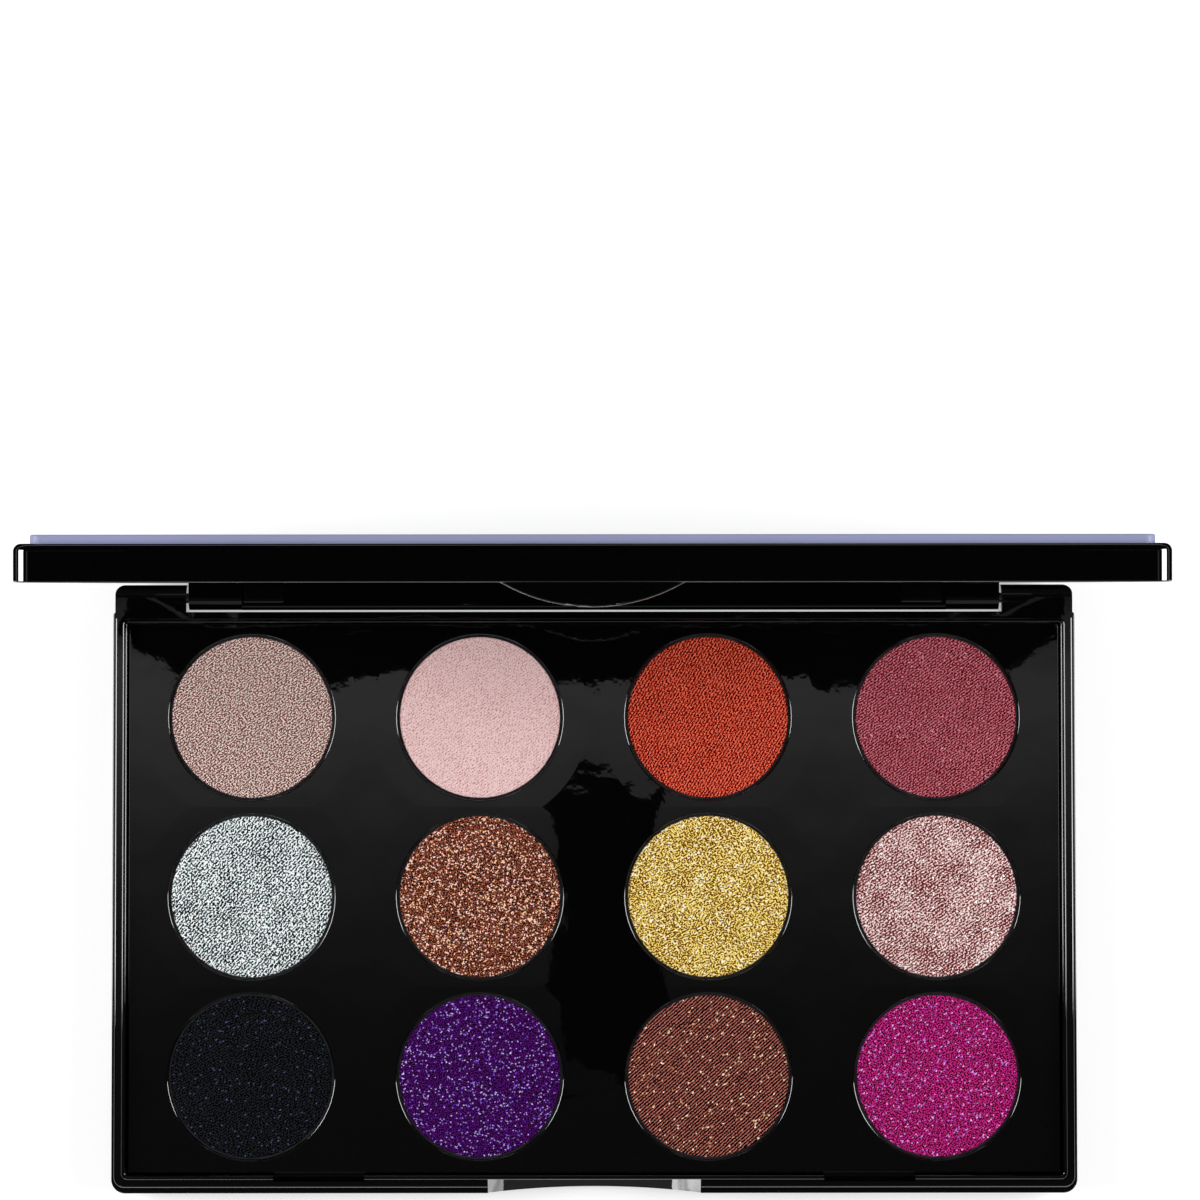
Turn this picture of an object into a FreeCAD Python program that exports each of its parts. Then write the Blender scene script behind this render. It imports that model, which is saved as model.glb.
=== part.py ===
"""Twelve-pan eyeshadow palette: a flat hinged case with its lid standing open. All sizes are in mm.

X runs along the hinge, Y from the front edge towards the hinge and Z up. The origin is on the underside of
the base, below the middle of the pan grid. The lid is modelled shut, then turned open about the hinge.
"""
import FreeCAD
import Part
import os

V = FreeCAD.Vector

# Pans, powder and the spots of glue under them
COLUMNS = 4
ROW_NAMES = ("back", "middle", "front")
PAN_DIAMETER = 26.0
PAN_HEIGHT = 4.0
PAN_SHEET = 0.3
PAN_ROUND = 0.5
POWDER_CROWN = 0.2
POWDER_CLEARANCE = 0.02
GLUE_DIAMETER = 12.0
GLUE_THICKNESS = 0.3

# Pan tray
WELL_CLEARANCE = 0.08
WELL_ROUND = 0.2
COLUMN_WEB = 9.84
ROW_WEB = 2.09
SIDE_MARGIN = 6.32
FRONT_MARGIN = 2.02
REAR_MARGIN = 1.75
PAN_RECESS = 0.4
TRAY_PLATE = 1.2
TRAY_SKIRT = 1.2
CUP_WALL = 1.6
WELL_FLOOR = 1.2
TRAY_ROUND = 0.2
TRAY_CORNER = 0.4

# Base shell
BASE_FLOOR = 1.2
TRAY_GAP = 0.15
LIP_THICKNESS = 0.65
LIP_HEIGHT = 0.8
LIP_ROUND = 0.2
SEAT_ABOVE_TRAY = 0.9
SIDE_SEAT = 1.3
FRONT_SEAT = 1.35
REAR_SEAT = 1.02
SIDE_STEP = 0.55
FRONT_STEP = 1.1
STEP_DROP = 1.5
SEAT_ROUND = 0.3
STEP_ROUND = 0.15
UNDERSIDE_ROUND = 0.8
CORNER_RADIUS = 2.2
REAR_CORNER_RADIUS = 0.5

# Thumb scoop in the front of the base, and the thumb tab of the lid that hangs in it
SCOOP_WIDTH = 33.5
SCOOP_DEPTH = 4.4
SCOOP_DISH = 3.0
SCOOP_SLOPE = 25.0
SCALLOP_DEPTH = 0.6
TAB_WIDTH = 24.4
TAB_DROP = 3.3
TAB_THICKNESS = 1.2
TAB_SETBACK = 0.2
TAB_ROUND = 0.3

# Snap hooks of the lid and their slots in the lip of the base
HOOK_SPACING = 86.4
HOOK_WIDTH = 5.2
HOOK_REACH = 2.7
HOOK_THICKNESS = 0.55
HOOK_CLEARANCE = 0.2
BEAD_RADIUS = 0.3
BEAD_HEIGHT = 0.1
SLOT_LENGTH = 14.3

# Hinge
EAR_WIDTH = 11.2
EAR_RADIUS = 2.1
EAR_CORNER_RADIUS = 1.5
KNUCKLE_RADIUS = 1.9
KNUCKLE_LENGTH = 8.4
KNUCKLE_END_GAP = 0.3
KNUCKLE_GAP = 0.35
TONGUE_INSET = 0.3
TONGUE_ROUND = 0.8
PIN_RADIUS = 0.8
PIN_REACH = 6.0
PIN_INSET = 0.3
PIN_END_GAP = 0.4
PIN_RUNNING_CLEARANCE = 0.05

# Lid
LID_OPEN_ANGLE = 87.9
PARTING_GAP = 0.3
LID_HEIGHT = 5.1
LID_EDGE_ROUND = 1.0
LID_RIM_ROUND = 0.2
LID_CLEARANCE = 0.2
CAVITY_DEPTH = 2.4
CAVITY_CORNER = 1.0
MIRROR_BORDER = 4.0
MIRROR_THICKNESS = 1.2
MIRROR_CLEARANCE = 0.2
MIRROR_CORNER = 2.0
TAPE_THICKNESS = 0.2
TAPE_INSET = 4.0
PANEL_MARGIN = 2.0
PANEL_PROUD = 1.2
PANEL_SINK = 0.3
PANEL_CLEARANCE = 0.1
PANEL_CORNER = 1.5
PANEL_ROUND = 0.25
FILM_THICKNESS = 0.15
FILM_INSET = 1.5

# Tools that cut run this far past the faces they open
OVERCUT = 1.0
TINY = 1e-4

# Heights that follow
WELL_FLOOR_Z = BASE_FLOOR + WELL_FLOOR
PAN_Z = WELL_FLOOR_Z + GLUE_THICKNESS
PAN_RIM_Z = PAN_Z + PAN_HEIGHT
TRAY_Z = PAN_RIM_Z + PAN_RECESS
SEAT_Z = TRAY_Z + SEAT_ABOVE_TRAY
LIP_Z = SEAT_Z + LIP_HEIGHT
STEP_Z = SEAT_Z - STEP_DROP
AXIS_Z = SEAT_Z - EAR_RADIUS
LID_RIM_Z = SEAT_Z + PARTING_GAP
LID_TOP_Z = LID_RIM_Z + LID_HEIGHT
CEILING_Z = LID_RIM_Z + CAVITY_DEPTH

# Pan grid that follows
WELL_RADIUS = PAN_DIAMETER / 2 + WELL_CLEARANCE
COLUMN_PITCH = 2 * WELL_RADIUS + COLUMN_WEB
ROW_PITCH = 2 * WELL_RADIUS + ROW_WEB
GRID_HALF_X = COLUMN_PITCH * (COLUMNS - 1) / 2 + WELL_RADIUS
GRID_HALF_Y = ROW_PITCH * (len(ROW_NAMES) - 1) / 2 + WELL_RADIUS

# Outlines that follow, each as (half width, front, rear), from the pan tray out to the base's foot
TRAY = (GRID_HALF_X + SIDE_MARGIN, -GRID_HALF_Y - FRONT_MARGIN, GRID_HALF_Y + REAR_MARGIN)


def grown(outline, side, front, rear):
    """The outline made larger by these amounts at its sides, front and rear."""
    half, front_y, rear_y = outline
    return (half + side, front_y - front, rear_y + rear)


INSIDE = grown(TRAY, TRAY_GAP, TRAY_GAP, TRAY_GAP)
LIP = grown(INSIDE, LIP_THICKNESS, LIP_THICKNESS, LIP_THICKNESS)
SEAT = grown(LIP, SIDE_SEAT, FRONT_SEAT, REAR_SEAT)
FOOT = grown(SEAT, SIDE_STEP, FRONT_STEP, 0)

# Hinge line and lid outlines that follow
AXIS_Y = FOOT[2] + KNUCKLE_GAP + KNUCKLE_RADIUS
EAR_INNER = SEAT[0] - EAR_WIDTH
KNUCKLE_OUTER = EAR_INNER - KNUCKLE_END_GAP
KNUCKLE_INNER = KNUCKLE_OUTER - KNUCKLE_LENGTH
LID = (FOOT[0], FOOT[1], AXIS_Y + EAR_RADIUS)
CAVITY = grown(LIP, LID_CLEARANCE, LID_CLEARANCE, LID_CLEARANCE)
MIRROR = grown(CAVITY, -MIRROR_BORDER, -MIRROR_BORDER, -MIRROR_BORDER)
PANEL = grown(LID, -PANEL_MARGIN, -PANEL_MARGIN, -PANEL_MARGIN)


# Basic solids

def box(x0, x1, y0, y1, z0, z1):
    """Upright block between these limits."""
    return Part.makeBox(x1 - x0, y1 - y0, z1 - z0, V(x0, y0, z0))


def rod_x(x0, x1, y, z, radius):
    """Cylinder along X."""
    return Part.makeCylinder(radius, x1 - x0, V(x0, y, z), V(1, 0, 0))


def rod_y(x, y0, y1, z, radius):
    """Cylinder along Y."""
    return Part.makeCylinder(radius, y1 - y0, V(x, y0, z), V(0, 1, 0))


def disc(centre, z0, z1, radius):
    """Cylinder along Z about a point of the plan."""
    return Part.makeCylinder(radius, z1 - z0, V(centre[0], centre[1], z0))


def upright_edges(solid, front):
    """The vertical edges of a block on its front side, or on its rear side."""
    middle = solid.BoundBox.Center.y
    upright = [edge for edge in solid.Edges if edge.BoundBox.ZLength > edge.BoundBox.DiagonalLength - TINY]
    return [edge for edge in upright if (edge.BoundBox.Center.y < middle) == front]


def level_edges(solid, z):
    """The edges of a solid that lie flat at height z."""
    return [edge for edge in solid.Edges
            if abs(edge.BoundBox.ZMin - z) < TINY and abs(edge.BoundBox.ZMax - z) < TINY]


def plate(outline, z0, z1, front_corner, rear_corner):
    """Upright block on an outline, with rounded corners in plan where a radius is given."""
    half, front, rear = outline
    block = box(-half, half, front, rear, z0, z1)
    if front_corner:
        block = block.makeFillet(front_corner, upright_edges(block, True))
    if rear_corner:
        block = block.makeFillet(rear_corner, upright_edges(block, False))
    return block


def both_sides(solid):
    """The solid and its mirror image across the middle of the case."""
    return [solid, solid.mirror(V(0, 0, 0), V(1, 0, 0))]


def pan_centres():
    """Plan position of each pan, by row name and column number, the columns counted from the left."""
    centres = {}
    for row, row_name in enumerate(ROW_NAMES):
        for column in range(COLUMNS):
            x = (column - (COLUMNS - 1) / 2) * COLUMN_PITCH
            y = ((len(ROW_NAMES) - 1) / 2 - row) * ROW_PITCH
            centres[f"{row_name}_{column + 1}"] = (x, y)
    return centres


# Pieces of the base

def hinge_ear():
    """Right-hand hinge lug: round about the pin, flat on top, rounded in plan at its outer corner."""
    nose = rod_x(EAR_INNER, SEAT[0], AXIS_Y, AXIS_Z, EAR_RADIUS)
    root_front = SEAT[2] - REAR_SEAT
    root = box(EAR_INNER, SEAT[0], root_front, AXIS_Y, AXIS_Z - EAR_RADIUS, SEAT_Z)
    plan = plate((SEAT[0], root_front, LID[2]), 0, SEAT_Z, 0, EAR_CORNER_RADIUS)
    return nose.fuse(root).common(plan)


def thumb_scoop():
    """Cutter for the dished scoop in the front wall: a drum that slopes down towards the front."""
    half = SCOOP_WIDTH / 2
    back = LIP[1]
    radius = (half ** 2 + SCOOP_DISH ** 2) / (2 * SCOOP_DISH)
    length = 4 * SCOOP_DEPTH
    drum = rod_y(0, -length, length, radius, radius)
    drum.rotate(V(0, 0, 0), V(1, 0, 0), SCOOP_SLOPE)
    drum.translate(V(0, back, SEAT_Z - SCOOP_DEPTH))
    return drum.common(box(-half, half, FOOT[1] - OVERCUT, back, 0, SEAT_Z + OVERCUT))


def front_scallop():
    """Cutter that hollows the front wall a little in plan across the width of the scoop."""
    radius = ((SCOOP_WIDTH / 2) ** 2 + SCALLOP_DEPTH ** 2) / (2 * SCALLOP_DEPTH)
    return disc((0, FOOT[1] + SCALLOP_DEPTH - radius), -OVERCUT, SEAT_Z + OVERCUT, radius)


def hook_slot():
    """Cutter for the right-hand snap slot: through the lip and down inside the front wall."""
    outer = CAVITY[1] - HOOK_CLEARANCE
    centre = HOOK_SPACING / 2
    depth = HOOK_REACH - PARTING_GAP + 2 * HOOK_CLEARANCE
    return box(centre - SLOT_LENGTH / 2, centre + SLOT_LENGTH / 2, outer, INSIDE[1] + TINY,
               SEAT_Z - depth, LIP_Z + OVERCUT)


def base_shell():
    """Shallow black box: foot, stepped-in seat for the lid, standing lip, hinge ears, scoop and slots."""
    foot = plate(FOOT, 0, STEP_Z, CORNER_RADIUS, REAR_CORNER_RADIUS)
    foot = foot.makeFillet(UNDERSIDE_ROUND, level_edges(foot, 0))
    foot = foot.makeFillet(STEP_ROUND, level_edges(foot, STEP_Z))
    seat = plate(SEAT, BASE_FLOOR, SEAT_Z, CORNER_RADIUS - SIDE_STEP, 0)
    outer_edges = [edge for edge in level_edges(seat, SEAT_Z) if edge.BoundBox.YMin < SEAT[2] - TINY]
    seat = seat.makeFillet(SEAT_ROUND, outer_edges)
    inside = plate(INSIDE, BASE_FLOOR, LIP_Z + OVERCUT, TRAY_CORNER, TRAY_CORNER)
    lip_corner = TRAY_CORNER + LIP_THICKNESS
    lip = plate(LIP, BASE_FLOOR, LIP_Z, lip_corner, lip_corner).cut(inside)
    lip = lip.makeFillet(LIP_ROUND, level_edges(lip, LIP_Z))
    solid = foot.fuse([seat, lip, *both_sides(hinge_ear())])
    bore = rod_x(EAR_INNER - OVERCUT, SEAT[0] + OVERCUT, AXIS_Y, AXIS_Z, PIN_RADIUS)
    cutters = [inside, thumb_scoop(), front_scallop(), *both_sides(hook_slot()), *both_sides(bore)]
    return solid.cut(cutters).removeSplitter()


def pan_tray():
    """Black insert that fills the base inside the lip: a flat plate on a skirt, with twelve round wells."""
    corner = TRAY_CORNER
    block = plate(TRAY, BASE_FLOOR, TRAY_Z, corner, corner)
    block = block.makeFillet(TRAY_ROUND, level_edges(block, TRAY_Z))
    centres = pan_centres().values()
    under = grown(TRAY, -TRAY_SKIRT, -TRAY_SKIRT, -TRAY_SKIRT)
    hollow = plate(under, BASE_FLOOR - OVERCUT, TRAY_Z - TRAY_PLATE, corner, corner)
    cup_radius = WELL_RADIUS + CUP_WALL
    hollow = hollow.cut([disc(c, BASE_FLOOR - 2 * OVERCUT, TRAY_Z, cup_radius) for c in centres])
    wells = [disc(c, WELL_FLOOR_Z, TRAY_Z + OVERCUT, WELL_RADIUS) for c in centres]
    tray = block.cut([hollow, *wells]).removeSplitter()
    mouths = [edge for edge in level_edges(tray, TRAY_Z) if hasattr(edge.Curve, "Radius")
              and abs(edge.Curve.Radius - WELL_RADIUS) < TINY]
    return tray.makeFillet(WELL_ROUND, mouths)


def pan(centre):
    """Round sheet-metal pan, rounded under its edge."""
    radius = PAN_DIAMETER / 2
    outer = disc(centre, PAN_Z, PAN_RIM_Z, radius)
    outer = outer.makeFillet(PAN_ROUND, level_edges(outer, PAN_Z))
    return outer.cut(disc(centre, PAN_Z + PAN_SHEET, PAN_RIM_Z + OVERCUT, radius - PAN_SHEET))


def powder(centre):
    """Pressed powder that fills a pan, its face slightly crowned."""
    radius = PAN_DIAMETER / 2 - PAN_SHEET - POWDER_CLEARANCE
    crown_radius = (radius ** 2 + POWDER_CROWN ** 2) / (2 * POWDER_CROWN)
    top = PAN_RIM_Z + POWDER_CROWN
    ball = Part.makeSphere(crown_radius, V(centre[0], centre[1], top - crown_radius))
    return disc(centre, PAN_Z + PAN_SHEET, top + OVERCUT, radius).common(ball)


def pan_adhesive():
    """Spots of glue that hold the pans in their wells."""
    spots = [disc(c, WELL_FLOOR_Z, PAN_Z, GLUE_DIAMETER / 2) for c in pan_centres().values()]
    return Part.makeCompound(spots)


def hinge_pin():
    """Right-hand hinge pin: pressed into the ear, free to turn in the knuckle."""
    return rod_x(KNUCKLE_OUTER - PIN_REACH, SEAT[0] - PIN_INSET, AXIS_Y, AXIS_Z, PIN_RADIUS)


# Pieces of the lid, all shut

def knuckle():
    """Right-hand hinge knuckle under the heel of the lid."""
    barrel = rod_x(KNUCKLE_INNER, KNUCKLE_OUTER, AXIS_Y, AXIS_Z, KNUCKLE_RADIUS)
    web = box(KNUCKLE_INNER, KNUCKLE_OUTER, AXIS_Y - KNUCKLE_RADIUS, LID[2], AXIS_Z, LID_RIM_Z + OVERCUT)
    return barrel.fuse(web)


def tongue():
    """Bar between the two knuckles, a little slimmer than they are."""
    reach = KNUCKLE_RADIUS - TONGUE_INSET
    bar = box(-KNUCKLE_INNER - TINY, KNUCKLE_INNER + TINY, AXIS_Y - reach, AXIS_Y + reach,
              AXIS_Z - KNUCKLE_RADIUS, LID_RIM_Z + OVERCUT)
    return bar.makeFillet(TONGUE_ROUND, [edge for edge in level_edges(bar, AXIS_Z - KNUCKLE_RADIUS)
                                         if edge.BoundBox.XLength > KNUCKLE_INNER])


def snap_hook():
    """Right-hand snap hook: a thin leaf inside the front skirt with a catch bead near its tip."""
    left = HOOK_SPACING / 2 - HOOK_WIDTH / 2
    right = left + HOOK_WIDTH
    outer = CAVITY[1]
    tip = LID_RIM_Z - HOOK_REACH
    leaf = box(left, right, outer - TINY, outer + HOOK_THICKNESS, tip, CEILING_Z + TINY)
    bead = rod_x(left, right, outer + BEAD_RADIUS - BEAD_HEIGHT, tip + BEAD_RADIUS, BEAD_RADIUS)
    return leaf.fuse(bead)


def thumb_tab():
    """Half-moon tab with a rounded rim that hangs from the front edge of the lid into the scoop."""
    half = TAB_WIDTH / 2
    radius = (half ** 2 + TAB_DROP ** 2) / (2 * TAB_DROP)
    tip = LID_RIM_Z - TAB_DROP
    front = LID[1] + TAB_SETBACK
    moon = rod_y(0, front, front + TAB_THICKNESS, tip + radius, radius)
    moon = moon.makeFillet(TAB_ROUND, [edge for edge in moon.Edges if edge.BoundBox.YLength < TINY])
    return moon.common(box(-half, half, front - OVERCUT, front + TAB_THICKNESS + OVERCUT,
                           tip - OVERCUT, LID_RIM_Z + OVERCUT))


def lid_shell():
    """Shallow black lid: skirt, mirror seat inside, panel seat outside, hinge bar, hooks and thumb tab."""
    outer = plate(LID, LID_RIM_Z, LID_TOP_Z, CORNER_RADIUS, CORNER_RADIUS)
    outer = outer.makeFillet(LID_EDGE_ROUND, level_edges(outer, LID_TOP_Z))
    outer = outer.makeFillet(LID_RIM_ROUND, level_edges(outer, LID_RIM_Z))
    cavity = plate(CAVITY, LID_RIM_Z - OVERCUT, CEILING_Z, CAVITY_CORNER, CAVITY_CORNER)
    mirror_seat = plate(grown(MIRROR, MIRROR_CLEARANCE, MIRROR_CLEARANCE, MIRROR_CLEARANCE), LID_RIM_Z,
                        CEILING_Z + MIRROR_THICKNESS + TAPE_THICKNESS, MIRROR_CORNER, MIRROR_CORNER)
    panel_floor = LID_TOP_Z - PANEL_SINK - FILM_THICKNESS
    panel_seat = plate(grown(PANEL, PANEL_CLEARANCE, PANEL_CLEARANCE, PANEL_CLEARANCE), panel_floor,
                       LID_TOP_Z + OVERCUT, PANEL_CORNER, PANEL_CORNER)
    shell = outer.cut([cavity, mirror_seat, panel_seat])
    shell = shell.fuse([*both_sides(knuckle()), tongue(), *both_sides(snap_hook()), thumb_tab()])
    bore = rod_x(KNUCKLE_OUTER - PIN_REACH - PIN_END_GAP, KNUCKLE_OUTER + OVERCUT, AXIS_Y, AXIS_Z,
                 PIN_RADIUS + PIN_RUNNING_CLEARANCE)
    return shell.cut(both_sides(bore)).removeSplitter()


def mirror_glass():
    """Mirror, its face level with the inside of the lid."""
    return plate(MIRROR, CEILING_Z, CEILING_Z + MIRROR_THICKNESS, MIRROR_CORNER, MIRROR_CORNER)


def mirror_tape():
    """Sheet of double-sided tape behind the mirror."""
    back = CEILING_Z + MIRROR_THICKNESS
    return plate(grown(MIRROR, -TAPE_INSET, -TAPE_INSET, -TAPE_INSET), back, back + TAPE_THICKNESS,
                 MIRROR_CORNER, MIRROR_CORNER)


def lid_panel():
    """Plain decorative panel that stands proud of the outside of the lid."""
    top = LID_TOP_Z + PANEL_PROUD
    panel = plate(PANEL, LID_TOP_Z - PANEL_SINK, top, PANEL_CORNER, PANEL_CORNER)
    return panel.makeFillet(PANEL_ROUND, level_edges(panel, top))


def panel_adhesive():
    """Adhesive film under the outer panel."""
    top = LID_TOP_Z - PANEL_SINK
    return plate(grown(PANEL, -FILM_INSET, -FILM_INSET, -FILM_INSET), top - FILM_THICKNESS, top,
                 PANEL_CORNER, PANEL_CORNER)


# Assembly

def opened(solid):
    """A piece of the lid, turned about the hinge from shut to the open angle."""
    solid.rotate(V(0, AXIS_Y, AXIS_Z), V(-1, 0, 0), LID_OPEN_ANGLE)
    return solid


def all_pieces():
    """Every piece by its name."""
    pieces = {"base_shell": base_shell(), "pan_tray": pan_tray(), "pan_adhesive": pan_adhesive()}
    for name, centre in pan_centres().items():
        pieces[f"pan_{name}"] = pan(centre)
        pieces[f"powder_{name}"] = powder(centre)
    pieces["hinge_pin_right"], pieces["hinge_pin_left"] = both_sides(hinge_pin())
    pieces["lid_shell"] = opened(lid_shell())
    pieces["mirror_glass"] = opened(mirror_glass())
    pieces["mirror_tape"] = opened(mirror_tape())
    pieces["lid_panel"] = opened(lid_panel())
    pieces["panel_adhesive"] = opened(panel_adhesive())
    return pieces


os.makedirs("parts", exist_ok=True)
for piece_name, piece in all_pieces().items():
    piece.exportStep(f"parts/{piece_name}.step")
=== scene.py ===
"""Studio scene of an open eyeshadow palette, seen from above. All sizes are in metres.

The case keeps its solid model and gets detailed materials.
Each pressed powder is rebuilt as a fine mesh.
"""
import bmesh
import bpy
import math
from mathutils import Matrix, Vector, noise


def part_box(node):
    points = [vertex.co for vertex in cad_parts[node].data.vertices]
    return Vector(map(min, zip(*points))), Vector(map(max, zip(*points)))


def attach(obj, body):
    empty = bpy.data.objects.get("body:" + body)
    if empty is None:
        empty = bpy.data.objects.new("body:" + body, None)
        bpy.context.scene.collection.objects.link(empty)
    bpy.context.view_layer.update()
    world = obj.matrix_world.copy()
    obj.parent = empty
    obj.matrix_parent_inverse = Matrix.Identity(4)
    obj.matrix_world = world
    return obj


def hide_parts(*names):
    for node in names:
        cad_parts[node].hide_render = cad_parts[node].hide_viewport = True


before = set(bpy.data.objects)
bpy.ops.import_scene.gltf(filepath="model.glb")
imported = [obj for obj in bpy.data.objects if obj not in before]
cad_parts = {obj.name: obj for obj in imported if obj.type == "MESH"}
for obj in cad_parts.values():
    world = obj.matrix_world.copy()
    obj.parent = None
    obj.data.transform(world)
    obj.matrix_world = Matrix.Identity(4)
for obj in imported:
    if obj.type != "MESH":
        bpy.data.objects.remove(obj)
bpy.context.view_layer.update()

# Ranges of values: the whole way from nothing to one, and the useful part of a noise
UNIT = (0.0, 1.0)
NOISE_SPAN = (0.3, 0.7)

# Camera: nearly straight down, a little towards the hinge
CAMERA_PLACE = (0.00096, 0.02954, 0.53992)
CAMERA_TILT = math.radians(1.853)
CAMERA_ROLL = math.radians(-0.048)
CAMERA_LENS = 101.18

# Floor, with its glow from near the case to far away
FLOOR_SIZE = 3.0
FLOOR_DROP = 0.0003
FLOOR_TONE = 0.6
FLOOR_SPREAD = (0.16, 0.6)
FLOOR_GLOW = (0.5, 0.85)

# Lights
WORLD_AMBIENT = 0.26
SOFTBOX_WIDTH = 0.24
SOFTBOX_HEIGHT = 0.3
SOFTBOX_POWER = 2.45
SOFTBOX_PLACE = (0.45, 0.06, 0.34)

# Small bright uneven cards at the front that the ends of the thumb scoop mirror
GLINT_PLACE = (0.315, -0.56, 0.29)
GLINT_HALF_LEFT = 0.075
GLINT_HALF_RIGHT = 0.035
GLINT_HALF_HEIGHT = 0.04
GLINT_MOTTLE = 22.0
GLINT_SPAN = (0.3, 0.6)
GLINT_STRENGTH = (0.2, 5.0)

# Dim overhead canopy that the flat black faces mirror, brightest near the hinge
CANOPY_HEIGHT = 0.71
CANOPY_HALF_WIDTH = 0.32
CANOPY_FRONT = -0.35
CANOPY_REAR = 0.16
CANOPY_RISE = (-0.15, 0.03)
CANOPY_RISE_POWER = 3.0
CANOPY_GLOW = (0.02, 0.24)
CANOPY_FALL = (0.045, 0.07)
CANOPY_REAR_SHARE = 0.25
CANOPY_SIDES = (-0.17, 0.17)
CANOPY_RIGHT_SHARE = 0.8

# Black cards just under the canopy, and a low one whose outline is given for its right half
CARD_DROP = 0.012
REAR_CARD_HALF = 0.145
REAR_CARD_FRONT = 0.036
CAMERA_CARD_X = (-0.02, 0.027)
CAMERA_CARD_Y = (-0.105, 0.005)
LOW_CARD_HEIGHT = 0.2
LOW_CARD_OUTLINE = ((0.084, 0.0365), (0.1, 0.044), (0.1, 0.053))

# Black cards on the floor behind the lid and beside the hinge
FLOOR_CARD_HALF = 0.6
FLOOR_CARD_INNER = 0.085
FLOOR_CARD_FRONT = 0.046
FLOOR_CARD_STEP = 0.06
FLOOR_CARD_REAR = 0.6

# Drapes that hang outwards from the canopy towards the floor
DRAPE_HALF_WIDTH = 1.0
DRAPE_REACH = 1.2
DRAPE_SIDE = 0.8
DRAPE_FRONT_FOOT = 0.1
DRAPE_FRONT_GLOW = 0.15

# Painted shadow: dark strips on the floor beside the case, seen only in reflections
SHADE_INNER = 0.078
SHADE_OUTER = 0.11
SHADE_FRONT = -0.065
SHADE_FULL = -0.035
SHADE_REAR = 0.045

# Pan grid, for the slight sink of the tray towards each well
COLUMN_PITCH = 0.036
ROW_PITCH = 0.02825
SINK_SPAN = (0.0133, 0.0172)
SINK_DEPTH = 0.00002

# Powder mesh
POWDER_RINGS = 30
POWDER_SPOKES = 120
POWDER_EDGE = 0.00014
POWDER_EDGE_TURNS = (30, 60, 90)
POWDER_CROWN = 0.0002
POWDER_RELIEF = 0.000025
POWDER_LUMP = 0.004

# Powder material: shift of pattern from powder to powder, then grain, pits, clouds and relief
POWDER_SHIFT = (0.17, 0.11, 0.05)
POWDER_SPECULAR = 0.02
GRAIN_SPAN = (0.36, 0.64)
PIT_SPAN = (0.05, 0.32)
PIT_SHADE = (0.55, 1.0)
CLOUD_SCALE = 240.0
WEAVE_RELIEF = 0.6

# Radians that a wave texture runs through in one unit of length, at scale one
WAVE_RADIANS = 20.0

# Finishes of pressed powder
MATTE = dict(
    # Shares of weave, grain and cloud in the shift from dark to light, and of a second weave in the weave
    weave=0.45, cross=0.3, grain=0.5, cloud=0.05,
    # Half the range of the shift, and where the three tones stand in it
    contrast=0.26, steps=(0.08, 0.5, 0.92),
    # Size of a grain, its stretch along the weave, and round pits in place of grain
    size=0.00018, stretch=1.5, pits=False,
    # Pitch and waver of the weave
    pitch=0.0004, waver=2.5,
    # Share of bright flakes, their two tones, and the tilt of all flakes
    spark=0.0, sparks=("ffffff", "ffffff"), tilt=0.0,
    # Metal, roughness and depth of relief
    metal=0.0, rough=0.8, depth=0.0001)
SHIMMER = dict(
    MATTE, weave=0.3, grain=0.55, cloud=0.15, stretch=1.3,
    spark=0.03, tilt=0.5, metal=0.2, rough=0.4, depth=0.00008)
GLITTER = dict(
    MATTE, weave=0.05, grain=0.8, cloud=0.15, stretch=1.0, contrast=0.3, steps=(0.35, 0.7, 1.0),
    spark=0.1, tilt=0.6, metal=0.25, rough=0.35, depth=0.00006)

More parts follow.
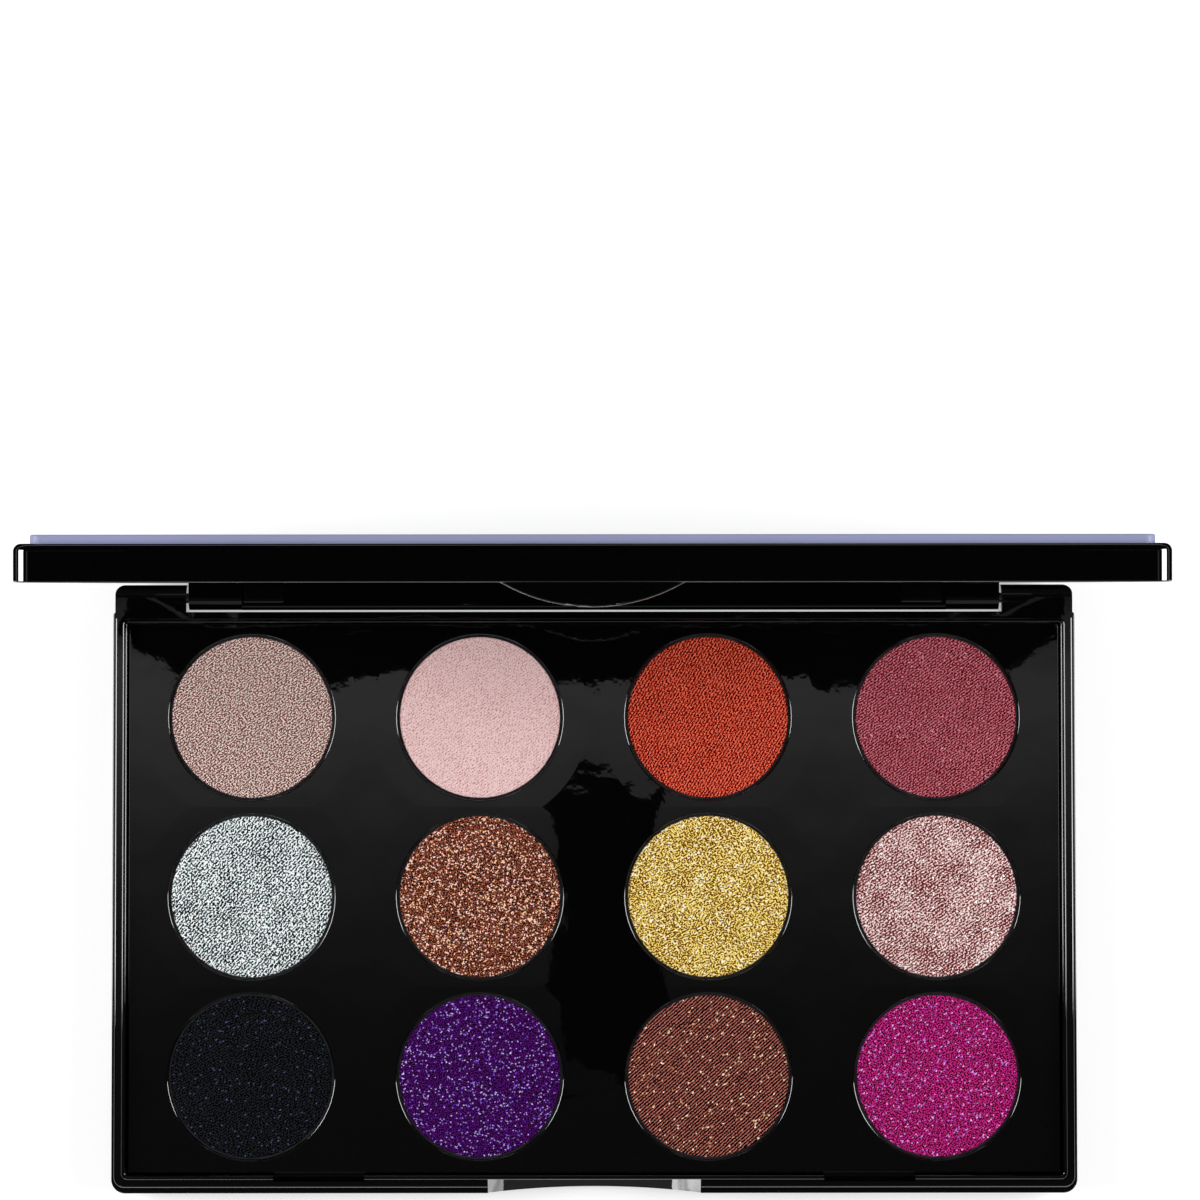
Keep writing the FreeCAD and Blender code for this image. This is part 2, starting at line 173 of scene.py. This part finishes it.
# Tones of each powder from dark to light, rise of its weave in degrees, and changes to its finish
POWDERS = {
    "back_1": dict(
        MATTE, tones=("6e352d", "be958d", "e8dad2"), rise=36, cloud=0.0, contrast=0.18),
    "back_2": dict(
        MATTE, tones=("b06a67", "e0b3b1", "eccccb"), rise=36, weave=0.3, grain=0.65,
        size=0.00028, stretch=1.0, contrast=0.18, pits=True),
    "back_3": dict(
        MATTE, tones=("4a0000", "aa1a0a", "ea6a50"), rise=58, weave=0.55, grain=0.4,
        contrast=0.2, pitch=0.00044),
    "back_4": dict(
        MATTE, tones=("4e0308", "902a36", "c87280"), rise=36, weave=0.55, grain=0.4, contrast=0.21,
        spark=0.01, sparks=("c27e8c", "d8aab6"), tilt=0.3, metal=0.1, rough=0.5),
    "middle_1": dict(
        SHIMMER, tones=("020203", "5e686e", "f2fafa"), rise=48, weave=0.46, grain=0.44, cloud=0.1,
        size=0.00023, contrast=0.14, pitch=0.00046, waver=3.0, spark=0.05),
    "middle_2": dict(
        GLITTER, tones=("020000", "40100a", "b4664e"), rise=10, size=0.0002,
        spark=0.14, sparks=("ffd08c", "ffd4dc")),
    "middle_3": dict(
        SHIMMER, tones=("6c3a00", "c89c1c", "fce282"), rise=30, weave=0.12, grain=0.62, cloud=0.26,
        size=0.00023, contrast=0.17, spark=0.08, sparks=("fff4cc", "fffdf2")),
    "middle_4": dict(
        SHIMMER, tones=("5c1012", "a86060", "f2d8d5"), rise=34, weave=0.4, grain=0.4, cloud=0.2,
        size=0.00022, contrast=0.17, pitch=0.00044, spark=0.05, sparks=("fff0ec", "ffffff")),
    "front_1": dict(
        MATTE, tones=("000000", "020303", "1e2025"), rise=30, contrast=0.19,
        spark=0.02, sparks=("2a3c46", "4c4c78"), rough=0.6, depth=0.00006),
    "front_2": dict(
        GLITTER, tones=("060008", "20022a", "5c167c"), rise=15, grain=0.91, cloud=0.04,
        contrast=0.22, spark=0.07, sparks=("5c2cd0", "d4c4f4")),
    "front_3": dict(
        SHIMMER, tones=("000000", "1a0304", "b0685c"), rise=42, weave=0.64, cross=0.04, grain=0.34,
        cloud=0.02, size=0.0002, contrast=0.16, steps=(0.4, 0.74, 1.0), pitch=0.00042, waver=1.5,
        spark=0.03, sparks=("c89458", "fff0cc"), metal=0.0),
    "front_4": dict(
        SHIMMER, tones=("300000", "7c002e", "ce2c8c"), rise=45, weave=0.2, grain=0.78, cloud=0.02,
        contrast=0.2, spark=0.05, sparks=("a84cd4", "f0b8f0"), metal=0.1),
}


# Node helpers

def tone(code):
    """A colour written as red, green and blue hex digits, as linear values with full opacity."""
    values = []
    for place in (0, 2, 4):
        part = int(code[place:place + 2], 16) / 255
        values.append(part / 12.92 if part <= 0.04045 else ((part + 0.055) / 1.055) ** 2.4)
    return (*values, 1.0)


def node(tree, kind, sockets, **settings):
    """Adds a node, sets its options, and links or sets each named or numbered input."""
    made = tree.nodes.new(kind)
    for name, value in settings.items():
        setattr(made, name, value)
    for name, value in sockets.items():
        if isinstance(value, bpy.types.NodeSocket):
            tree.links.new(value, made.inputs[name])
        else:
            made.inputs[name].default_value = value
    return made


def new_material(name):
    """An empty node material and its tree."""
    material = bpy.data.materials.new(name)
    material.use_nodes = True
    material.node_tree.nodes.clear()
    return material, material.node_tree


def surface(tree, shader):
    """Joins a shader to the material's output."""
    node(tree, "ShaderNodeOutputMaterial", {"Surface": shader.outputs[0]})


def principled(tree, sockets):
    """Gives the material a principled shader with these inputs."""
    surface(tree, node(tree, "ShaderNodeBsdfPrincipled", sockets))


def own_coords(tree):
    """Coordinates of the object itself."""
    return node(tree, "ShaderNodeTexCoord", {}).outputs["Object"]


def own_axes(tree):
    """The object's coordinates, one value for each axis."""
    return node(tree, "ShaderNodeSeparateXYZ", {0: own_coords(tree)}).outputs


def placed(tree, shift=(0, 0, 0), angle=0):
    """The object's coordinates, shifted and turned about Z."""
    return node(tree, "ShaderNodeMapping", {
        "Vector": own_coords(tree),
        "Location": shift,
        "Rotation": (0, 0, math.radians(angle))}).outputs[0]


def speckle(tree, vector, scale, detail=2.0, **settings):
    """Noise value about a half."""
    sockets = {"Vector": vector, "Scale": scale, "Detail": detail}
    return node(tree, "ShaderNodeTexNoise", sockets, **settings).outputs["Fac"]


def ranged(tree, value, span, result=UNIT):
    """A value mapped from one range to another, held at its ends."""
    return node(tree, "ShaderNodeMapRange", {
        "Value": value, "From Min": span[0], "From Max": span[1],
        "To Min": result[0], "To Max": result[1]}).outputs[0]


def maths(tree, operation, first, second=0.0):
    """One arithmetic step."""
    return node(tree, "ShaderNodeMath", {0: first, 1: second}, operation=operation).outputs[0]


def vectors(tree, operation, first, second):
    """One step between two vectors."""
    return node(tree, "ShaderNodeVectorMath", {0: first, 1: second}, operation=operation).outputs[0]


def blended(tree, factor, first, second):
    """Colour between two colours by a factor."""
    return node(tree, "ShaderNodeMix", {0: factor, 6: first, 7: second}, data_type="RGBA").outputs[2]


def bump(tree, height, strength, distance, below=None):
    """Surface direction tilted by a pattern of heights, on top of any earlier direction."""
    sockets = {"Height": height, "Strength": strength, "Distance": distance}
    if below is not None:
        sockets["Normal"] = below
    return node(tree, "ShaderNodeBump", sockets).outputs[0]


# Materials of the case

def well_sink(tree):
    """Level of the tray's face, which dips a little towards the mouth of each well."""
    axes = own_axes(tree)
    across = maths(tree, "FLOORED_MODULO", axes[0], COLUMN_PITCH)
    across = maths(tree, "SUBTRACT", across, COLUMN_PITCH / 2)
    along = maths(tree, "FLOORED_MODULO", maths(tree, "ADD", axes[1], ROW_PITCH / 2), ROW_PITCH)
    along = maths(tree, "SUBTRACT", along, ROW_PITCH / 2)
    squares = maths(tree, "ADD", maths(tree, "POWER", across, 2.0), maths(tree, "POWER", along, 2.0))
    return ranged(tree, maths(tree, "SQRT", squares), SINK_SPAN)


def gloss_black(name, shift, sunk):
    """Polished black moulded plastic: flow waves, faint haze, fine specks, and a sink at any wells."""
    material, tree = new_material(name)
    coords = placed(tree, shift)
    specks = speckle(tree, coords, scale=2600.0, detail=3.0)
    haze = speckle(tree, coords, scale=90.0, detail=4.0)
    waves = speckle(tree, coords, scale=48.0)
    ripples = speckle(tree, coords, scale=420.0)
    normal = bump(tree, waves, strength=0.6, distance=0.0002)
    normal = bump(tree, ripples, strength=0.5, distance=0.000008, below=normal)
    if sunk:
        normal = bump(tree, well_sink(tree), strength=1.0, distance=SINK_DEPTH, below=normal)
    principled(tree, {
        "Base Color": blended(tree, specks, tone("010101"), tone("070708")),
        "Roughness": ranged(tree, haze, (0.35, 0.7), (0.012, 0.03)),
        "IOR": 1.7,
        "Coat Weight": 1.0,
        "Coat Roughness": 0.02,
        "Normal": normal,
        "Coat Normal": normal})
    return material


def black_lacquer():
    """Thin black lacquer on sheet metal, a little worn and uneven."""
    material, tree = new_material("pan_black_lacquer")
    coords = placed(tree)
    wear = speckle(tree, coords, scale=700.0, detail=3.0)
    polish = speckle(tree, coords, scale=300.0)
    principled(tree, {
        "Base Color": blended(tree, wear, tone("0a0a0b"), tone("26262a")),
        "Roughness": ranged(tree, polish, NOISE_SPAN, (0.18, 0.4)),
        "Normal": bump(tree, speckle(tree, coords, scale=2500.0), strength=0.3, distance=0.00001)})
    return material


def lavender_panel():
    """Tinted acrylic sheet: milky lavender with faint cloudiness and a satin face."""
    material, tree = new_material("lavender_acrylic")
    coords = placed(tree, shift=(0.3, 0.1, 0.2))
    cloud = ranged(tree, speckle(tree, coords, scale=22.0, detail=3.0), NOISE_SPAN)
    satin = speckle(tree, coords, scale=160.0, detail=4.0)
    principled(tree, {
        "Base Color": blended(tree, cloud, tone("888ba8"), tone("9194b7")),
        "Roughness": ranged(tree, satin, NOISE_SPAN, (0.3, 0.42)),
        "Specular IOR Level": 0.25,
        "Normal": bump(tree, speckle(tree, coords, scale=45.0), strength=0.3, distance=0.00005)})
    return material


def silvered_glass():
    """Mirror with the faintest film of wiping marks."""
    material, tree = new_material("silvered_glass")
    film = speckle(tree, placed(tree, angle=12), scale=30.0, detail=5.0)
    principled(tree, {
        "Base Color": blended(tree, film, tone("e6e9e8"), tone("eef1f0")),
        "Metallic": 1.0,
        "Roughness": ranged(tree, film, (0.45, 0.75), (0.008, 0.035))})
    return material


def drawn_steel():
    """Steel wire with drawing lines along its length."""
    material, tree = new_material("drawn_steel")
    lines = node(tree, "ShaderNodeMapping", {
        "Vector": placed(tree), "Scale": (100.0, 9000.0, 9000.0)}).outputs[0]
    streak = speckle(tree, lines, scale=1.0, detail=3.0)
    principled(tree, {
        "Base Color": blended(tree, streak, tone("8f9092"), tone("c4c5c8")),
        "Metallic": 1.0,
        "Roughness": ranged(tree, streak, NOISE_SPAN, (0.22, 0.4))})
    return material


def sticky(name, dark, light):
    """Adhesive film or glue, slightly mottled."""
    material, tree = new_material(name)
    coords = placed(tree)
    mottle = speckle(tree, coords, scale=400.0, detail=4.0)
    principled(tree, {
        "Base Color": blended(tree, mottle, tone(dark), tone(light)),
        "Roughness": 0.5,
        "Normal": bump(tree, speckle(tree, coords, scale=900.0), strength=0.4, distance=0.00003)})
    return material


# Powders

def strands(tree, coords, look, direction):
    """Wavering parallel strands pressed into the powder by a cloth."""
    sockets = {
        "Vector": coords,
        "Scale": 2 * math.pi / WAVE_RADIANS / look["pitch"],
        "Distortion": look["waver"],
        "Detail": 2.0,
        "Detail Scale": 1.6}
    return node(tree, "ShaderNodeTexWave", sockets, bands_direction=direction).outputs["Fac"]


def powder_shift(tree, coords, look, grain):
    """How far a powder shifts from dark to light: its weave, grain and drifting clouds together."""
    weave = maths(tree, "ADD",
                  maths(tree, "MULTIPLY", strands(tree, coords, look, "X"), 1.0 - look["cross"]),
                  maths(tree, "MULTIPLY", strands(tree, coords, look, "DIAGONAL"), look["cross"]))
    cloud = ranged(tree, speckle(tree, coords, CLOUD_SCALE, detail=4.0), NOISE_SPAN)
    total = 0.0
    for value, share in ((weave, look["weave"]), (grain, look["grain"]), (cloud, look["cloud"])):
        total = maths(tree, "ADD", maths(tree, "MULTIPLY", value, share), total)
    return ranged(tree, total, (0.5 - look["contrast"], 0.5 + look["contrast"]))


def powder_tones(tree, factor, look):
    """Ramp from a powder's dark tone through its body to its light tone."""
    ramp = node(tree, "ShaderNodeValToRGB", {"Fac": factor})
    steps = ramp.color_ramp.elements
    steps.new(0.5)
    for step, place, code in zip(steps, look["steps"], look["tones"]):
        step.position = place
        step.color = tone(code)
    return ramp.outputs["Color"]


def leaning(tree, normal, flakes, tilt):
    """A surface direction tilted by a random amount in each flake."""
    lean = vectors(tree, "SUBTRACT", flakes, (0.5, 0.5, 0.5))
    lean = vectors(tree, "MULTIPLY", lean, (tilt, tilt, tilt))
    lean = vectors(tree, "ADD", normal, lean)
    return node(tree, "ShaderNodeVectorMath", {0: lean}, operation="NORMALIZE").outputs[0]


def powder_material(name, look, seed):
    """Pressed powder: the weave of a cloth, grains of varied tone, drifting clouds and tilted flakes."""
    material, tree = new_material(f"pressed_{name}")
    coords = placed(tree, [seed * step for step in POWDER_SHIFT], 90 - look["rise"])
    drawn = node(tree, "ShaderNodeMapping", {
        "Vector": coords, "Scale": (1.0, 1.0 / look["stretch"], 1.0)}).outputs[0]
    density = 1.0 / look["size"]
    cells = node(tree, "ShaderNodeTexVoronoi", {"Vector": drawn, "Scale": density},
                 voronoi_dimensions="2D").outputs
    chances = node(tree, "ShaderNodeSeparateColor", {"Color": cells["Color"]}).outputs
    fine = speckle(tree, drawn, density, detail=0.0, noise_dimensions="2D")
    if look["pits"]:
        shade = ranged(tree, chances[0], UNIT, PIT_SHADE)
        grain = maths(tree, "MULTIPLY", ranged(tree, cells["Distance"], PIT_SPAN), shade)
    else:
        grain = ranged(tree, fine, GRAIN_SPAN)
    factor = powder_shift(tree, coords, look, grain)
    colour = powder_tones(tree, factor, look)
    if look["spark"]:
        lit = maths(tree, "GREATER_THAN", chances[1], 1.0 - look["spark"])
        spark = blended(tree, chances[2], tone(look["sparks"][0]), tone(look["sparks"][1]))
        colour = blended(tree, lit, colour, spark)
    relief = maths(tree, "ADD", maths(tree, "MULTIPLY", factor, WEAVE_RELIEF), fine)
    normal = bump(tree, relief, strength=1.0, distance=look["depth"])
    if look["tilt"]:
        normal = leaning(tree, normal, cells["Color"], look["tilt"])
    principled(tree, {
        "Base Color": colour,
        "Metallic": look["metal"],
        "Roughness": look["rough"],
        "Specular IOR Level": POWDER_SPECULAR,
        "Normal": normal})
    return material


def powder_profile(radius, depth):
    """Radii and heights down a powder's face and side, with heights counted from its crown."""
    inner = radius - POWDER_EDGE
    rings = []
    for step in range(1, POWDER_RINGS + 1):
        r = inner * step / POWDER_RINGS
        rings.append((r, -POWDER_CROWN * (r / radius) ** 2))
    for turn in POWDER_EDGE_TURNS:
        a = math.radians(turn)
        drop = POWDER_EDGE * (1 - math.cos(a))
        rings.append((inner + POWDER_EDGE * math.sin(a), -POWDER_CROWN - drop))
    rings.append((radius, -depth))
    return rings


def powder_piece(name, material):
    """Closed powder disc in place of its plain solid, its face pressed a little unevenly."""
    low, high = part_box(f"powder_{name}")
    centre = (low + high) / 2
    rings = powder_profile((high.x - low.x) / 2, high.z - low.z)
    shape = bmesh.new()

    def point(r, height, spoke):
        angle = 2 * math.pi * spoke / POWDER_SPOKES
        place = Vector((centre.x + r * math.cos(angle), centre.y + r * math.sin(angle), 0))
        swell = POWDER_RELIEF * noise.noise(place / POWDER_LUMP)
        settle = min(1.0, (height + high.z - low.z) / POWDER_CROWN)
        place.z = high.z + height + (swell - POWDER_RELIEF) * max(0.0, settle)
        return shape.verts.new(place)

    top = point(0, 0, 0)
    loops = [[point(r, height, spoke) for spoke in range(POWDER_SPOKES)] for r, height in rings]
    for spoke in range(POWDER_SPOKES):
        after = (spoke + 1) % POWDER_SPOKES
        shape.faces.new((top, loops[0][spoke], loops[0][after]))
        for outer, inner in zip(loops[1:], loops):
            shape.faces.new((inner[spoke], outer[spoke], outer[after], inner[after]))
    shape.faces.new(list(reversed(loops[-1])))
    mesh = bpy.data.meshes.new(f"pressed_powder_{name}")
    shape.to_mesh(mesh)
    shape.free()
    mesh.shade_smooth()
    mesh.materials.append(material)
    piece = bpy.data.objects.new(f"pressed_powder_{name}", mesh)
    bpy.context.scene.collection.objects.link(piece)
    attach(piece, "base")
    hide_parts(f"powder_{name}")


# Stage, light and camera

def level_corners(xs, ys, z):
    """Corners of a level rectangle."""
    return [(xs[0], ys[0], z), (xs[1], ys[0], z), (xs[1], ys[1], z), (xs[0], ys[1], z)]


def sheet(name, corners, material):
    """Flat polygon that belongs to the studio."""
    mesh = bpy.data.meshes.new(name)
    mesh.from_pydata(corners, [], [range(len(corners))])
    mesh.materials.append(material)
    piece = bpy.data.objects.new(name, mesh)
    bpy.context.scene.collection.objects.link(piece)
    return piece


def card(name, corners, material):
    """Studio sheet that is seen in reflections alone."""
    piece = sheet(name, corners, material)
    piece.visible_camera = False
    piece.visible_diffuse = False
    piece.visible_transmission = False
    piece.visible_shadow = False


def seen(tree):
    """One for a ray from the camera, a reflection or a clear piece, and nothing for other rays."""
    path = node(tree, "ShaderNodeLightPath", {}).outputs
    direct = maths(tree, "MAXIMUM", path["Is Camera Ray"], path["Is Glossy Ray"])
    return maths(tree, "MAXIMUM", direct, path["Is Transmission Ray"])


def white_floor():
    """White floor that keeps shadows. For camera and reflections it glows, more so far from the case."""
    material, tree = new_material("white_floor")
    coords = own_coords(tree)
    spread = node(tree, "ShaderNodeVectorMath", {0: coords}, operation="LENGTH").outputs["Value"]
    lift = ranged(tree, spread, FLOOR_SPREAD, FLOOR_GLOW)
    glow = node(tree, "ShaderNodeEmission", {"Strength": maths(tree, "MULTIPLY", seen(tree), lift)})
    paper = node(tree, "ShaderNodeBsdfDiffuse", {"Color": (FLOOR_TONE, FLOOR_TONE, FLOOR_TONE, 1)})
    surface(tree, node(tree, "ShaderNodeAddShader", {0: glow.outputs[0], 1: paper.outputs[0]}))
    reach = (-FLOOR_SIZE / 2, FLOOR_SIZE / 2)
    sheet("floor", level_corners(reach, reach, -FLOOR_DROP), material)


def white_world():
    """Plain ambient light, with white wherever the camera or a reflection looks past the floor."""
    world = bpy.data.worlds.new("studio")
    bpy.context.scene.world = world
    world.use_nodes = True
    tree = world.node_tree
    tree.nodes.clear()
    strength = ranged(tree, seen(tree), UNIT, (WORLD_AMBIENT, 1.0))
    sky = node(tree, "ShaderNodeBackground", {"Color": (1, 1, 1, 1), "Strength": strength})
    node(tree, "ShaderNodeOutputWorld", {"Surface": sky.outputs[0]})


def softbox(side):
    """Tall bright softbox to one side, aimed at the case."""
    lamp = bpy.data.lights.new("softbox", "AREA")
    lamp.shape = "RECTANGLE"
    lamp.size = SOFTBOX_WIDTH
    lamp.size_y = SOFTBOX_HEIGHT
    lamp.energy = SOFTBOX_POWER
    holder = bpy.data.objects.new("softbox", lamp)
    reach, back, lift = SOFTBOX_PLACE
    holder.location = (side * reach, back, lift)
    holder.rotation_euler = (-holder.location).to_track_quat("-Z", "Y").to_euler()
    bpy.context.scene.collection.objects.link(holder)


def glint_card(name, x, half):
    """Bright uneven card to one side of the front."""
    material, tree = new_material(name)
    patch = ranged(tree, speckle(tree, own_coords(tree), GLINT_MOTTLE), GLINT_SPAN, GLINT_STRENGTH)
    surface(tree, node(tree, "ShaderNodeEmission", {"Strength": patch}))
    y, z = GLINT_PLACE[1:]
    low = z - GLINT_HALF_HEIGHT
    high = z + GLINT_HALF_HEIGHT
    left = x - half
    right = x + half
    card(name, [(left, y, low), (right, y, low), (right, y, high), (left, y, high)], material)


def canopy():
    """Overhead diffuser, brightest near the hinge and fading to the front and to the right."""
    material, tree = new_material("canopy")
    axes = own_axes(tree)
    rise = maths(tree, "POWER", ranged(tree, axes[1], CANOPY_RISE), CANOPY_RISE_POWER)
    front = ranged(tree, rise, UNIT, CANOPY_GLOW)
    rear = ranged(tree, axes[1], CANOPY_FALL, (1.0, CANOPY_REAR_SHARE))
    side = ranged(tree, axes[0], CANOPY_SIDES, (1.0, CANOPY_RIGHT_SHARE))
    strength = maths(tree, "MULTIPLY", maths(tree, "MULTIPLY", front, rear), side)
    surface(tree, node(tree, "ShaderNodeEmission", {"Strength": strength}))
    xs = (-CANOPY_HALF_WIDTH, CANOPY_HALF_WIDTH)
    card("canopy", level_corners(xs, (CANOPY_FRONT, CANOPY_REAR), CANOPY_HEIGHT), material)


def floor_shade(name, side):
    """Painted shadow seen only in reflections: a dark strip of floor beside the case that fades outwards
    and to the front.
    """
    material, tree = new_material(name)
    axes = own_axes(tree)
    outwards = ranged(tree, maths(tree, "MULTIPLY", axes[0], side), (SHADE_INNER, SHADE_OUTER))
    forwards = ranged(tree, axes[1], (SHADE_FRONT, SHADE_FULL), (1.0, 0.0))
    clear = maths(tree, "MAXIMUM", outwards, forwards)
    dark = node(tree, "ShaderNodeBsdfDiffuse", {"Color": (0, 0, 0, 1)})
    nothing = node(tree, "ShaderNodeBsdfTransparent", {})
    sockets = {0: clear, 1: dark.outputs[0], 2: nothing.outputs[0]}
    surface(tree, node(tree, "ShaderNodeMixShader", sockets))
    xs = sorted((side * SHADE_INNER, side * SHADE_OUTER))
    card(name, level_corners(xs, (SHADE_FRONT, SHADE_REAR), 0.0), material)


def black_paper():
    """Plain black material of the cards and drapes."""
    material, tree = new_material("black_card")
    surface(tree, node(tree, "ShaderNodeBsdfDiffuse", {"Color": (0, 0, 0, 1)}))
    return material


def overhead_cards(paper):
    """Black cards that hide the canopy from the rear of the tray and the hinge, and one for the camera."""
    height = CANOPY_HEIGHT - CARD_DROP
    rear_xs = (-REAR_CARD_HALF, REAR_CARD_HALF)
    card("rear_card", level_corners(rear_xs, (REAR_CARD_FRONT, CANOPY_REAR), height), paper)
    card("camera_card", level_corners(CAMERA_CARD_X, CAMERA_CARD_Y, height), paper)
    right = [(x, y, LOW_CARD_HEIGHT) for x, y in LOW_CARD_OUTLINE]
    left = [(-x, y, z) for x, y, z in reversed(right)]
    card("low_card", right + left, paper)


def floor_cards(paper):
    """Black cards on the floor that darken the back of the lid's edge."""
    half = FLOOR_CARD_HALF
    behind = (FLOOR_CARD_STEP, FLOOR_CARD_REAR)
    beside = (FLOOR_CARD_FRONT, FLOOR_CARD_STEP)
    card("rear_floor_card", level_corners((-half, half), behind, 0.0), paper)
    card("left_floor_card", level_corners((-half, -FLOOR_CARD_INNER), beside, 0.0), paper)
    card("right_floor_card", level_corners((FLOOR_CARD_INNER, half), beside, 0.0), paper)


def cross_drape(name, top_y, foot_y, foot_z, material):
    """Drape across the whole width, from an edge of the canopy down."""
    half = DRAPE_HALF_WIDTH
    card(name, [(-half, top_y, CANOPY_HEIGHT), (half, top_y, CANOPY_HEIGHT),
                (half, foot_y, foot_z), (-half, foot_y, foot_z)], material)


def side_drape(name, side, material):
    """Drape from one side of the canopy down to the floor."""
    top = side * CANOPY_HALF_WIDTH
    foot = side * DRAPE_SIDE
    card(name, [(top, CANOPY_FRONT, CANOPY_HEIGHT), (top, CANOPY_REAR, CANOPY_HEIGHT),
                (foot, DRAPE_REACH, 0.0), (foot, -DRAPE_REACH, 0.0)], material)


def dim_paper():
    """Dim grey glow of the front drape."""
    material, tree = new_material("front_drape")
    surface(tree, node(tree, "ShaderNodeEmission", {"Strength": DRAPE_FRONT_GLOW}))
    return material


def camera():
    """Camera above the pans."""
    eye = bpy.data.cameras.new("camera")
    eye.lens = CAMERA_LENS
    holder = bpy.data.objects.new("camera", eye)
    holder.location = CAMERA_PLACE
    holder.rotation_euler = (CAMERA_TILT, 0, CAMERA_ROLL)
    bpy.context.scene.collection.objects.link(holder)
    bpy.context.scene.camera = holder


# Dressing

def dress(material, *names):
    """Gives CAD pieces a material."""
    for name in names:
        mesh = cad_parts[name].data
        mesh.materials.clear()
        mesh.materials.append(material)


dress(gloss_black("base_gloss_black", shift=(0, 0, 0), sunk=False), "base_shell")
dress(gloss_black("tray_gloss_black", shift=(0.4, 0.2, 0), sunk=True), "pan_tray")
dress(gloss_black("lid_gloss_black", shift=(0.1, 0.7, 0.3), sunk=False), "lid_shell")
dress(black_lacquer(), *[f"pan_{name}" for name in POWDERS])
dress(lavender_panel(), "lid_panel")
dress(silvered_glass(), "mirror_glass")
dress(drawn_steel(), "hinge_pin_left", "hinge_pin_right")
dress(sticky("tape_white", "c9c8c2", "e2e1dc"), "mirror_tape")
dress(sticky("film_clear", "b9b9b6", "cfcfcc"), "panel_adhesive")
dress(sticky("glue_amber", "a58f5e", "c2b187"), "pan_adhesive")
for seed, (powder_name, powder_look) in enumerate(POWDERS.items()):
    powder_piece(powder_name, powder_material(powder_name, powder_look, seed))

white_floor()
white_world()
softbox(-1)
softbox(1)
glint_card("left_glint", -GLINT_PLACE[0], GLINT_HALF_LEFT)
glint_card("right_glint", GLINT_PLACE[0], GLINT_HALF_RIGHT)
canopy()
floor_shade("left_floor_shade", -1)
floor_shade("right_floor_shade", 1)
black = black_paper()
overhead_cards(black)
floor_cards(black)
side_drape("left_drape", -1, black)
side_drape("right_drape", 1, black)
cross_drape("rear_drape", CANOPY_REAR, DRAPE_REACH, 0.0, black)
cross_drape("front_drape", CANOPY_FRONT, -DRAPE_REACH, DRAPE_FRONT_FOOT, dim_paper())
camera()
bpy.context.scene.view_settings.view_transform = "Standard"
